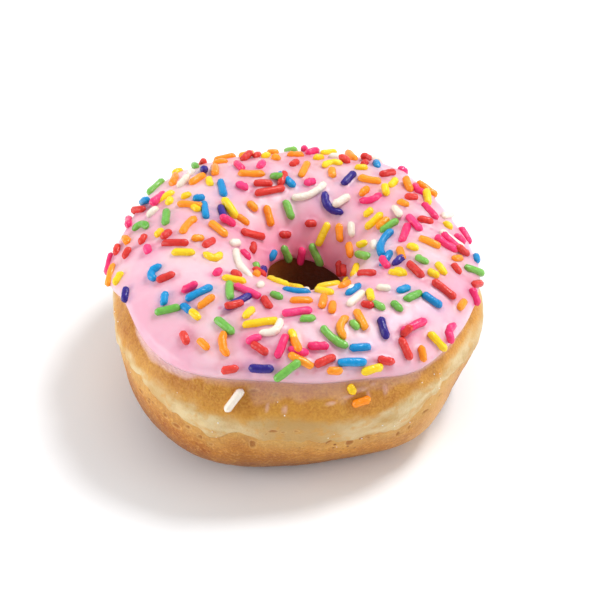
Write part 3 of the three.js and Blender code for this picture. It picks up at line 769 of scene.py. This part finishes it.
# degrees round, share across the icing, bearing from above, length, bend, colour
PLACED = (
    (209, 0.66, 110, 11.0, 0.9, WHITE), (86, 0.62, 31, 9.0, -0.8, WHITE),
    (71, 0.68, 124, 6.8, 1.0, INDIGO), (71, 0.83, 68, 6.2, 0, YELLOW),
    (52, 0.78, 74, 4.6, 0, ORANGE), (122, 0.955, 135, 5.0, 0, GREEN),
    (99, 0.96, 88, 4.8, 0, PINK), (77, 0.935, 88, 6.2, 0, GREEN),
    (31, 0.905, 33, 4.0, 0, RED), (4, 0.61, 71, 8.6, 1.1, BLUE),
    (254, 0.30, 9, 8.0, 0, YELLOW), (240, 0.42, 39, 7.2, 0, INDIGO),
    (157, 0.77, 16, 7.6, 0, RED), (113, 0.60, 20, 7.6, 0, RED),
    (220, 0.19, 4, 6.0, 0, GREEN), (267, 0.05, 50, 7.2, 0, GREEN),
    (259, 0.05, 178, 5.6, 0, INDIGO), (288, 0.08, 6, 6.7, 0, BLUE),
    (314, 0.19, 37, 7.4, 0, PINK), (336, 0.20, 149, 6.6, 0, RED),
    (328, 0.22, 154, 5.4, 0, BLUE), (303, 0.24, 108, 5.6, 0, INDIGO),
    (283, 0.22, 141, 7.4, 0.5, GREEN), (201, 0.05, 66, 4.2, 0, INDIGO),
    (355, 0.08, 14, 5.6, 0, GREEN), (349, 0.05, 31, 4.4, 0, RED),
    (142, 0.06, 56, 6.4, 0, GREEN), (7, 0.19, 145, 6.8, 0.5, PINK),
    (264, 0.60, 173, 6.4, 0.4, BLUE), (242, 0.74, 139, 6.0, 0.4, YELLOW),
    (116, 0.44, 180, 6.4, 0, ORANGE), (245, 0.16, 94, 6.2, 0.5, ORANGE),
    (260, 0.26, 40, 6.0, -0.9, WHITE), (287, 0.28, 85, 6.2, 0.8, ORANGE),
    (242, 0.26, 131, 6.0, 0, GREEN), (268, 0.38, 17, 7.0, 0, PINK),
    (281, 0.47, 83, 5.4, 0, ORANGE), (269, 0.48, 5, 5.2, 0, ORANGE),
    (257, 0.15, 140, 4.7, 0, RED), (264, 0.17, 73, 6.2, 0, PINK),
    (271, 0.10, 151, 6.2, 0, ORANGE), (277, 0.18, 4, 4.8, 0, PINK),
    (279, 0.10, 31, 5.2, 0, RED), (294, 0.04, 26, 5.2, 0, YELLOW),
    (299, 0.07, 176, 4.0, 0, RED), (292, 0.15, 10, 5.0, 0, BLUE),
    (296, 0.31, 113, 6.0, 0, ORANGE), (307, 0.11, 121, 5.6, 0, RED),
    (323, 0.31, 42, 5.0, 0, GREEN), (299, 0.46, 55, 6.4, 0, WHITE),
    (324, 0.63, 140, 5.4, 0, RED), (239, 0.51, 147, 7.2, 0, PINK),
    (232, 0.47, 95, 6.2, 0, GREEN), (223, 0.36, 31, 7.0, 0, BLUE),
    (10, 0.47, 76, 6.9, 0, PINK), (17, 0.38, 120, 6.0, 0, PINK),
    (25, 0.21, 124, 6.0, 0, PINK), (30, 0.59, 38, 5.5, 0, YELLOW),
    (156, 0.41, 164, 6.4, 0, ORANGE), (125, 0.75, 115, 5.3, 0, ORANGE),
    (105, 0.72, 110, 5.0, 0, GREEN), (173, 0.48, 65, 7.0, 0.3, ORANGE),
    (187, 0.42, 168, 6.5, 0, RED), (195, 0.41, 175, 5.4, 0, YELLOW),
    (165, 0.33, 92, 6.4, 0, GREEN), (4, 0.24, 150, 6.4, 0.5, PINK),
)
# short ends that slipped in between: degrees round, share across, bearing, length, colour
SHORT_ENDS = (
    (247.5, 0.36, 56, 3.9, YELLOW), (273, 0.34, 11, 3.7, GREEN), (254, 0.20, 24, 3.7, PINK),
    (268, 0.22, 109, 4.4, YELLOW), (270, 0.15, 165, 4.6, PINK), (282, 0.05, 178, 3.6, ORANGE),
    (311.5, 0.06, 116, 3.8, ORANGE), (250, 0.04, 20, 4.0, RED), (307, 0.46, 97, 4.0, YELLOW),
    (306.5, 0.37, 148, 3.3, GREEN), (239, 0.14, 127, 3.7, ORANGE), (292.5, 0.28, 130, 2.9, GREEN),
    (252, 0.45, 114, 4.4, RED), (301.5, 0.54, 52, 5.0, BLUE), (215, 0.21, 82, 4.1, BLUE),
    (225, 0.26, 132, 3.7, BLUE), (229.5, 0.26, 131, 3.7, YELLOW), (345.5, 0.26, 120, 4.2, YELLOW),
    (347, 0.38, 133, 3.9, GREEN), (331.5, 0.48, 154, 3.9, YELLOW), (344, 0.51, 50, 4.1, INDIGO),
    (350.5, 0.51, 100, 4.8, ORANGE), (19.5, 0.53, 36, 5.3, GREEN), (8.5, 0.18, 152, 7.1, WHITE),
    (158, 0.45, 126, 2.9, YELLOW), (150.5, 0.69, 164, 3.7, ORANGE), (158, 0.5, 97, 6.4, BLUE),
)
# degrees round, height on the dough, bearing, length, colour
STRAYS = (
    (253, 27.2, 60, 6.2, WHITE), (290, 25.1, 34, 4.4, ORANGE), (287.5, 27.6, 122, 2.6, YELLOW),
)
# they lie on the thin syrup, not sunk in icing
STRAY_LIFT = 0.3
# the share of each colour in the jar, in the order of the names above
JAR = (0.21, 0.22, 0.19, 0.06, 0.07, 0.02, 0.13, 0.10)


def lay_rod(point, normal, bearing, length, radius, bend, lift, lean, colour):
    """One sprinkle lying on a surface, its axis along a plan bearing."""
    heading = np.array([math.cos(math.radians(bearing)), math.sin(math.radians(bearing)), 0.0])
    along = heading - normal * heading.dot(normal)
    along = along / np.linalg.norm(along)
    middle = point + normal * (SIT * radius + lift)
    return {"middle": middle, "along": along, "normal": normal, "length": length,
            "radius": radius, "bend": bend, "lean": lean, "colour": colour}


def lay_on_icing(deg, across, *manner):
    around = icing_point(deg + 0.5, across) - icing_point(deg - 0.5, across)
    rise = icing_point(deg, across + 0.008) - icing_point(deg, across - 0.008)
    normal = np.cross(around, rise)
    return lay_rod(icing_point(deg, across), normal / np.linalg.norm(normal), *manner)


def fall_density(deg, across):
    fall = EVEN_FALL
    for size, at, width, middle, breadth in PATCHES:
        fall += size * swell(deg, at, width) * math.exp(-(((across - middle) / breadth) ** 2))
    kept = 1.0 - THROAT_LOSS * min(max((across - THROAT_FROM) / THROAT_FADE, 0.0), 1.0)
    return min(max(fall * kept, LEAST_FALL), 1.0)


def rod_samples(rod):
    """Five points along a sprinkle's axis, the middle one at index 2."""
    reach = np.array([-0.5, -0.25, 0.0, 0.25, 0.5]) * (rod["length"] - rod["radius"])
    return rod["middle"] + reach[:, None] * rod["along"]


def nearest_touch(samples, taken):
    """The smallest gap to a sprinkle already down, and which way along this one it lies."""
    best_gap, way = math.inf, 1
    for other in taken:
        if np.linalg.norm(other[2] - samples[2]) >= NEIGHBOUR:
            continue
        gaps = np.linalg.norm(other[:, None, :] - samples[None, :, :], axis=-1)
        row, column = np.unravel_index(np.argmin(gaps), gaps.shape)
        if gaps[row, column] < best_gap:
            best_gap, way = gaps[row, column], (1 if column >= 2 else -1)
    return best_gap, way


def draws(seed):
    """The scatter's own random numbers, the same on every machine."""
    while True:
        seed = (seed * 1664525 + 1013904223) % 4294967296
        yield seed / 4294967296


rods = [lay_on_icing(at, across, bearing, length, ROD_RADIUS, bend, 0.0, 0.0, colour)
        for at, across, bearing, length, bend, colour in PLACED]
taken = [rod_samples(rod) for rod in rods]
draw = draws(SEED)
jar = np.random.default_rng(SEED)
first_ones = len(PLACED) + SCATTERED
all_of_them = first_ones + len(SHORT_ENDS) + LATE
while len(rods) < all_of_them:
    late = len(rods) >= first_ones
    if len(rods) == first_ones:
        for at, across, bearing, length, colour in SHORT_ENDS:
            rods.append(lay_on_icing(at, across, bearing, length, SHORT_END_THINNER * ROD_RADIUS,
                                     0.0, 0.0, 0.0, colour))
            taken.append(rod_samples(rods[-1]))
    at = 360.0 * next(draw)
    across = ACROSS_FROM + ACROSS_SPREAD * next(draw)
    fate = next(draw)
    bearing = 180.0 * next(draw)
    length = SHORTEST + LENGTH_SPREAD * next(draw) ** LENGTH_BIAS
    radius = ROD_RADIUS * (1.0 + WIDTH_SPREAD * (next(draw) - 0.5))
    curl = next(draw)
    stack = next(draw)
    point = icing_point(at, across)
    room = math.hypot(point[0], point[1]) / (RIM_RADIUS + ICING_THICKNESS)
    if fate > room * fall_density(at, across):
        continue
    bare_at, bare_width, bare_across, bare_breadth = LATE_BARE
    missed = abs(apart(at, bare_at)) < bare_width and abs(across - bare_across) < bare_breadth
    if late and missed:
        continue
    bend = 0.0
    if curl < CURLED_SHARE and length > CURLED_FROM:
        bend = CURL if curl < CURLED_SHARE / 2 else -CURL
    # the last ones down are short ends that slip in between
    if late:
        length = LATE_SHORTER * length
    flat = lay_on_icing(at, across, bearing, length, radius, bend, 0.0, 0.0, 0)
    samples = rod_samples(flat)
    gap, way = nearest_touch(samples, taken)
    if gap < TOUCHING and (late or stack > STACKED_SHARE):
        continue
    if gap < TOUCHING:
        flat = lay_on_icing(at, across, bearing, length, radius, bend, STACKED_LIFT,
                            way * STACKED_RISE / length, 0)
    flat["colour"] = int(jar.choice(len(JAR), p=JAR))
    rods.append(flat)
    taken.append(samples)
for at, height, bearing, length, colour in STRAYS:
    up_there = section_angle(at, height, True)
    rods.append(lay_rod(dough_point(at, up_there)[0], dough_normal(at, up_there), bearing, length,
                        ROD_RADIUS, 0.0, STRAY_LIFT, 0.0, colour))

# What the icing's colour is multiplied by round a sprinkle of each colour: dye and painted shade
DYE_AND_SHADE_TINTS = ((0.88, 0.6, 0.68), (0.97, 0.82, 0.76), (0.98, 0.92, 0.82), (0.86, 0.88, 0.84),
        (0.76, 0.82, 0.93), (0.72, 0.7, 0.86), (0.92, 0.58, 0.74), (0.97, 0.96, 0.96))
DYE_AND_SHADE_REACH = 1.5
# the collar of icing round a rod: its height, where it is highest in radii, its width, and how
# squarely the icing has to face the rod for one
COLLAR_RISE = 0.26
COLLAR_AT = 0.85
COLLAR_WIDTH = 0.45
COLLAR_FACING = 0.4
# icing further than this from a rod's ends is left alone
UNTOUCHED = 3.5
# The wet icing rose a little round each sprinkle that sank into it, and drew some dye out;
# the tint there is also painted shade
coat = icing.data
skin = np.empty(len(coat.vertices) * 3, np.float32)
coat.vertices.foreach_get("co", skin)
skin = skin.reshape(-1, 3).astype(float) / MM
facing = np.empty(len(coat.vertices) * 3, np.float32)
coat.vertex_normals.foreach_get("vector", facing)
facing = facing.reshape(-1, 3)
swollen = np.zeros(len(skin))
dyed_and_shaded = np.ones((len(skin), 3))
for rod in rods[:-len(STRAYS)]:
    touched = 0.5 * rod["length"] + UNTOUCHED
    near = np.nonzero(np.abs(skin - rod["middle"]).max(axis=1) < touched)[0]
    away = skin[near] - rod["middle"]
    reach = 0.5 * rod["length"] - rod["radius"]
    run = np.clip(away @ rod["along"], -reach, reach)
    off_axis = np.linalg.norm(away - run[:, None] * rod["along"], axis=1)
    rise = COLLAR_RISE * np.exp(-(((off_axis - COLLAR_AT * rod["radius"]) / COLLAR_WIDTH) ** 2))
    faces_rod = facing[near] @ rod["normal"] > COLLAR_FACING
    swollen[near] = np.maximum(swollen[near], rise * faces_rod)
    tint_share = np.exp(-((off_axis - rod["radius"]) / DYE_AND_SHADE_REACH) ** 2)[:, None]
    dyed_and_shaded[near] *= 1.0 - tint_share * (1.0 - np.array(DYE_AND_SHADE_TINTS[rod["colour"]]))
skin = skin + facing * swollen[:, None]
coat.vertices.foreach_set("co", (skin * MM).astype(np.float32).ravel())
dye_and_shade_layer = coat.attributes.new("dye_and_shade", "FLOAT_COLOR", "POINT")
dye_and_shade_layer.data.foreach_set("color", np.c_[dyed_and_shaded, np.ones(len(skin))].astype(np.float32).ravel())
coat.update()

# where the rings of a round tip stand, as shares of its length, and how many stand between the
# tips of a bent and a straight rod, the tips' own counted
TIP_MARKS = (0.03, 0.38, 1.0)
BENT_RINGS = 6
STRAIGHT_RINGS = 4
# share of its bow that a bent rod lies back by, so that it stays over its place
BOW_BACK = 0.6
SPINE_JITTER = 0.04
THINNEST = 0.94
THICKEST = 1.06


def spine_piece(name, chosen, wobble):
    """The sprinkles' spines as polylines, each point with the rod's thickness there."""
    points, edges, thickness, shade = [], [], [], []
    for rod in chosen:
        radius, length = ROUNDED * rod["radius"], rod["length"]
        tip = ROD_TIP * radius
        marks = [mark * tip for mark in TIP_MARKS]
        rings = BENT_RINGS if rod["bend"] else STRAIGHT_RINGS
        inner_marks = np.linspace(tip, length - tip, rings)[1:-1]
        marks = marks + list(inner_marks) + [length - m for m in reversed(marks)]
        sideways = np.cross(rod["normal"], rod["along"])
        tone = wobble.uniform(-1.0, 1.0)
        for i, mark in enumerate(marks):
            u = (mark - tip) / (length - 2 * tip)
            bow = rod["bend"] * (4 * u * (1 - u) - BOW_BACK)
            point = rod["middle"] + (mark - 0.5 * length) * rod["along"] \
                + rod["lean"] * (mark - 0.5 * length) * rod["normal"] + bow * sideways \
                + wobble.normal(0.0, SPINE_JITTER, 3)
            from_tip = min(mark, length - mark) / tip
            blunt = math.sqrt(1.0 - max(1.0 - from_tip, 0.0) ** 2)
            points.append(point * MM)
            thickness.append(radius * blunt * wobble.uniform(THINNEST, THICKEST) * MM)
            shade.append(tone)
            if i:
                edges.append((len(points) - 2, len(points) - 1))
    mesh = bpy.data.meshes.new(name)
    mesh.from_pydata(points, edges, [])
    add_flags(mesh, {"thickness": thickness, "shade": shade})
    return new_object(name, mesh)


# The extruder: sweeps a round die along every spine and closes the ends
DIE_SIDES = 8
extruder, given = new_tree("sugar_rod_extruder", (
    ("Spines", "Geometry", None), ("Die sides", "Int", DIE_SIDES),
    ("Material", "Material", None),
))
lines = add_node(extruder, "GeometryNodeMeshToCurve", inputs={"Mesh": given.outputs["Spines"]})
thick = add_node(extruder, "GeometryNodeInputNamedAttribute", {"data_type": "FLOAT"},
                 {"Name": "thickness"})
die = add_node(extruder, "GeometryNodeCurvePrimitiveCircle",
               inputs={"Resolution": given.outputs["Die sides"], "Radius": 1.0})
swept = add_node(extruder, "GeometryNodeCurveToMesh", inputs={
    "Curve": lines.outputs[0], "Profile Curve": die.outputs[0], "Scale": thick.outputs[0],
    "Fill Caps": True})
finish_tree(extruder, swept.outputs[0], given.outputs["Material"])

# Glazed sugar paste: dyed icing sugar, extruded through a die and tumbled in confectioner's
# glaze. It gives clean strong colour, a soft shine, and a slightly lumpy rod.
PASTE_FINISH = {
    "Roughness": 0.16, "Specular IOR Level": 0.4, "Subsurface Weight": 0.12,
    "Subsurface Radius": (0.6, 0.5, 0.4), "Subsurface Scale": 0.6 * MM,
}
# name, colour, its light and its deep tone
PASTES = (
    ("red", RED, "#E8443A", "#CA2422"), ("orange", ORANGE, "#FFA628", "#FF8A0C"),
    ("yellow", YELLOW, "#FFE02C", "#F8C604"), ("green", GREEN, "#8CCB5E", "#60AC40"),
    ("blue", BLUE, "#009ADA", "#0080C0"), ("indigo", INDIGO, "#3A2894", "#221270"),
    ("pink", PINK, "#FF4488", "#EA2064"), ("white", WHITE, "#FAF0E2", "#EEE2D2"),
)
wobble = np.random.default_rng(SEED + 1)
for colour_name, colour, light_tone, deep_tone in PASTES:
    paste, tree, shader = new_material(f"glazed_sugar_paste_{colour_name}", PASTE_FINISH)
    place = add_node(tree, "ShaderNodeTexCoord").outputs["Object"]
    shade = add_node(tree, "ShaderNodeAttribute", {"attribute_name": "shade"}).outputs["Fac"]
    # lumps about 0.8 mm long
    lumps = add_node(tree, "ShaderNodeTexNoise", inputs={
        "Vector": place, "Scale": 1300.0, "Detail": 3.0}).outputs[0]
    blend = add_node(tree, "ShaderNodeMath", {"operation": "MULTIPLY_ADD", "use_clamp": True},
                     {0: shade, 1: 0.3, 2: lumps}).outputs[0]
    tint = add_node(tree, "ShaderNodeMix", BLEND, {
        SHARE: blend, UNDER: linear(deep_tone), OVER: linear(light_tone)}).outputs[BLENDED]
    bump = add_node(tree, "ShaderNodeBump", inputs={
        "Height": lumps, "Strength": 0.6, "Distance": 0.4 * MM}).outputs[0]
    tree.links.new(tint, shader.inputs["Base Color"])
    tree.links.new(bump, shader.inputs["Normal"])
    sprinkles = spine_piece(f"sprinkles_{colour_name}",
                            [rod for rod in rods if rod["colour"] == colour], wobble)
    run_tree(sprinkles, extruder, {"Die sides": DIE_SIDES, "Material": paste})
    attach(sprinkles, "root")
    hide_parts("icing")

# ---------------------------------------------------------------------------------------------
# Table and light. A plain white table, a small soft light high on the right, wide low ones on the
# left and the right, a broad one high behind, and pale light from all round. Here all is in m.
# ---------------------------------------------------------------------------------------------
TABLE_HALF = 4
table = bpy.data.meshes.new("table")
table.from_pydata([(-TABLE_HALF, -TABLE_HALF, 0), (TABLE_HALF, -TABLE_HALF, 0),
                   (TABLE_HALF, TABLE_HALF, 0), (-TABLE_HALF, TABLE_HALF, 0)],
                  [], [(0, 1, 2, 3)])
tabletop = new_object("table", table)
# Painted board: a flat coat of matt white, which shows no gloss and keeps its shadows pale.
matt_white = new_material("matt_white_board", {
    "Base Color": linear("#FAFBFD"), "Roughness": 0.9, "Emission Color": linear("#FFFFFF"),
    "Emission Strength": 0.02})[0]
tabletop.data.materials.append(matt_white)

# name, place, size across, watts
LIGHTS = (
    ("key_softbox", (0.43, 0.28, 0.85), 0.3, 5.9),
    ("left_softbox", (-1.05, -0.22, 0.19), 0.8, 8.2),
    ("right_softbox", (1.00, -0.10, 0.20), 0.6, 3.0),
    ("back_softbox", (-0.10, 0.90, 0.90), 1.0, 1.4),
)
LAMPS_AIM = (0.0, 0.0, 0.02)
for lamp_name, spot_at, size, power in LIGHTS:
    lamp = bpy.data.lights.new(lamp_name, "AREA")
    lamp.shape = "DISK"
    lamp.size = size
    lamp.energy = power
    stand = new_object(lamp_name, lamp)
    stand.location = spot_at
    aim = np.array(LAMPS_AIM) - np.array(spot_at)
    pitch = math.atan2(math.hypot(aim[0], aim[1]), -aim[2])
    stand.rotation_euler = (pitch, 0.0, math.atan2(aim[1], aim[0]) - math.pi / 2)

world = bpy.data.worlds.new("pale_room")
world.use_nodes = True
world.node_tree.nodes["Background"].inputs["Color"].default_value = linear("#FFFFFF")
world.node_tree.nodes["Background"].inputs["Strength"].default_value = 0.60
bpy.context.scene.world = world
bpy.context.scene.view_settings.view_transform = "Standard"

# ---------------------------------------------------------------------------------------------
# Camera. From the front, 40 degrees above the table, a long lens well back, its places in m.
# ---------------------------------------------------------------------------------------------
ELEVATION = math.radians(40)
DISTANCE = 0.650
AIM = (0.00098, 0.0, 0.0202)
# the lens and the sensor's width are in mm
LENS = 169.3
SENSOR = 36.0
camera_data = bpy.data.cameras.new("camera")
camera_data.sensor_width = SENSOR
camera_data.lens = LENS
camera = new_object("camera", camera_data)
camera.location = (AIM[0], AIM[1] - DISTANCE * math.cos(ELEVATION),
                   AIM[2] + DISTANCE * math.sin(ELEVATION))
camera.rotation_euler = (math.pi / 2 - ELEVATION, 0.0, 0.0)
bpy.context.scene.camera = camera
